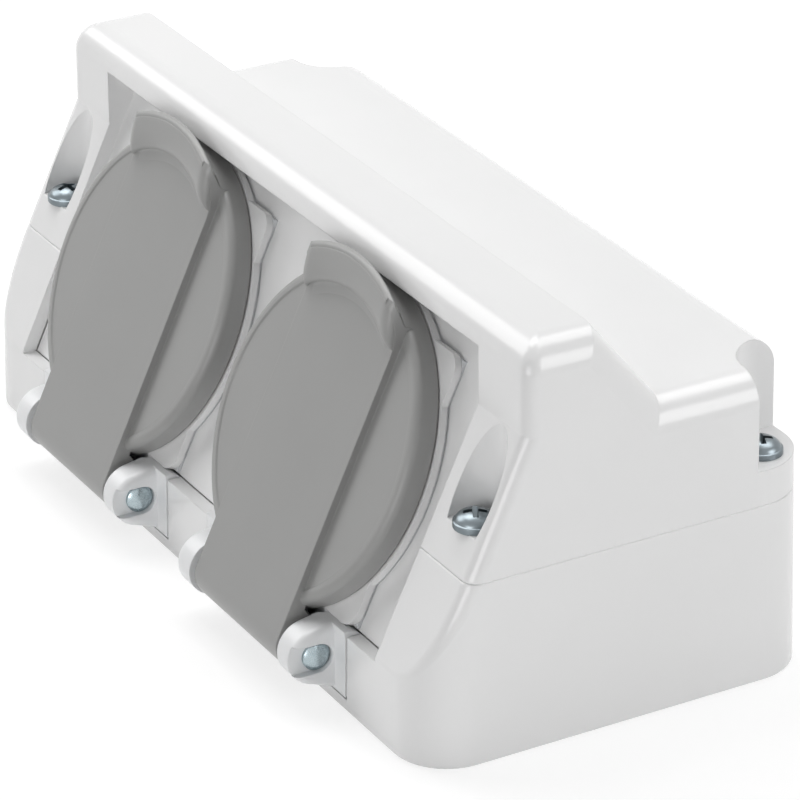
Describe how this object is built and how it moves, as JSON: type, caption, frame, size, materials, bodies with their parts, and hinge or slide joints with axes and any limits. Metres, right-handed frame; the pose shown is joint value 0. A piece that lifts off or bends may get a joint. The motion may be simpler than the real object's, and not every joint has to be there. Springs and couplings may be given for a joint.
{
  "type": "outdoor weatherproof socket",
  "caption": "Surface-mounted outdoor mains socket: a low sloped housing with round spring-closed lids, each over a recessed plug socket.",
  "frame": {"origin": "centre of the housing's wall face", "axes": "+X along the housing to its right end, -Y towards the front with the lids, +Z out of the wall"},
  "size_m": [0.156, 0.0806, 0.0675],
  "materials": {
    "white_plastic": "moulded, satin gloss",
    "grey_plastic": "moulded, light satin texture",
    "grey_rubber": "soft, matt",
    "zinc_steel": "blue zinc plated",
    "carrier_plastic": "filled moulding, matt",
    "nickel_brass": "thin nickel plate"
  },
  "bodies": {
    "root": {"lower_shell": "white_plastic", "upper_shell": "white_plastic", "housing_seal": "grey_rubber", "cable_grommet": "grey_rubber", "housing_screw_front_left": "zinc_steel", "housing_screw_front_right": "zinc_steel", "housing_screw_back_left": "zinc_steel", "housing_screw_back_right": "zinc_steel", "left_socket_front": "white_plastic", "left_flange_gasket": "grey_rubber", "left_contact_carrier": "carrier_plastic", "left_earth_clip": "nickel_brass", "left_live_contact": "nickel_brass", "left_live_terminal_screw": "zinc_steel", "left_neutral_contact": "nickel_brass", "left_neutral_terminal_screw": "zinc_steel", "left_hinge_bracket": "white_plastic", "left_hinge_pin": "zinc_steel", "left_lid_spring": "zinc_steel", "right_socket_front": "white_plastic", "right_flange_gasket": "grey_rubber", "right_contact_carrier": "carrier_plastic", "right_earth_clip": "nickel_brass", "right_live_contact": "nickel_brass", "right_live_terminal_screw": "zinc_steel", "right_neutral_contact": "nickel_brass", "right_neutral_terminal_screw": "zinc_steel", "right_hinge_bracket": "white_plastic", "right_hinge_pin": "zinc_steel", "right_lid_spring": "zinc_steel"},
    "left_lid": {"left_lid": "grey_plastic", "left_lid_seal": "grey_rubber"},
    "right_lid": {"right_lid": "grey_plastic", "right_lid_seal": "grey_rubber"}
  },
  "joints": [
    {"name": "left_lid_hinge", "type": "hinge", "parent": "root", "child": "left_lid", "pos_m": [-0.0305, -0.0385, 0.0087], "axis": [1, 0, 0], "range_deg": [0, 105], "stiffness_Nm_per_rad": 0.01, "springref_deg": -34.38},
    {"name": "right_lid_hinge", "type": "hinge", "parent": "root", "child": "right_lid", "pos_m": [0.0305, -0.0385, 0.0087], "axis": [1, 0, 0], "range_deg": [0, 105], "stiffness_Nm_per_rad": 0.01, "springref_deg": -34.38}
  ]
}
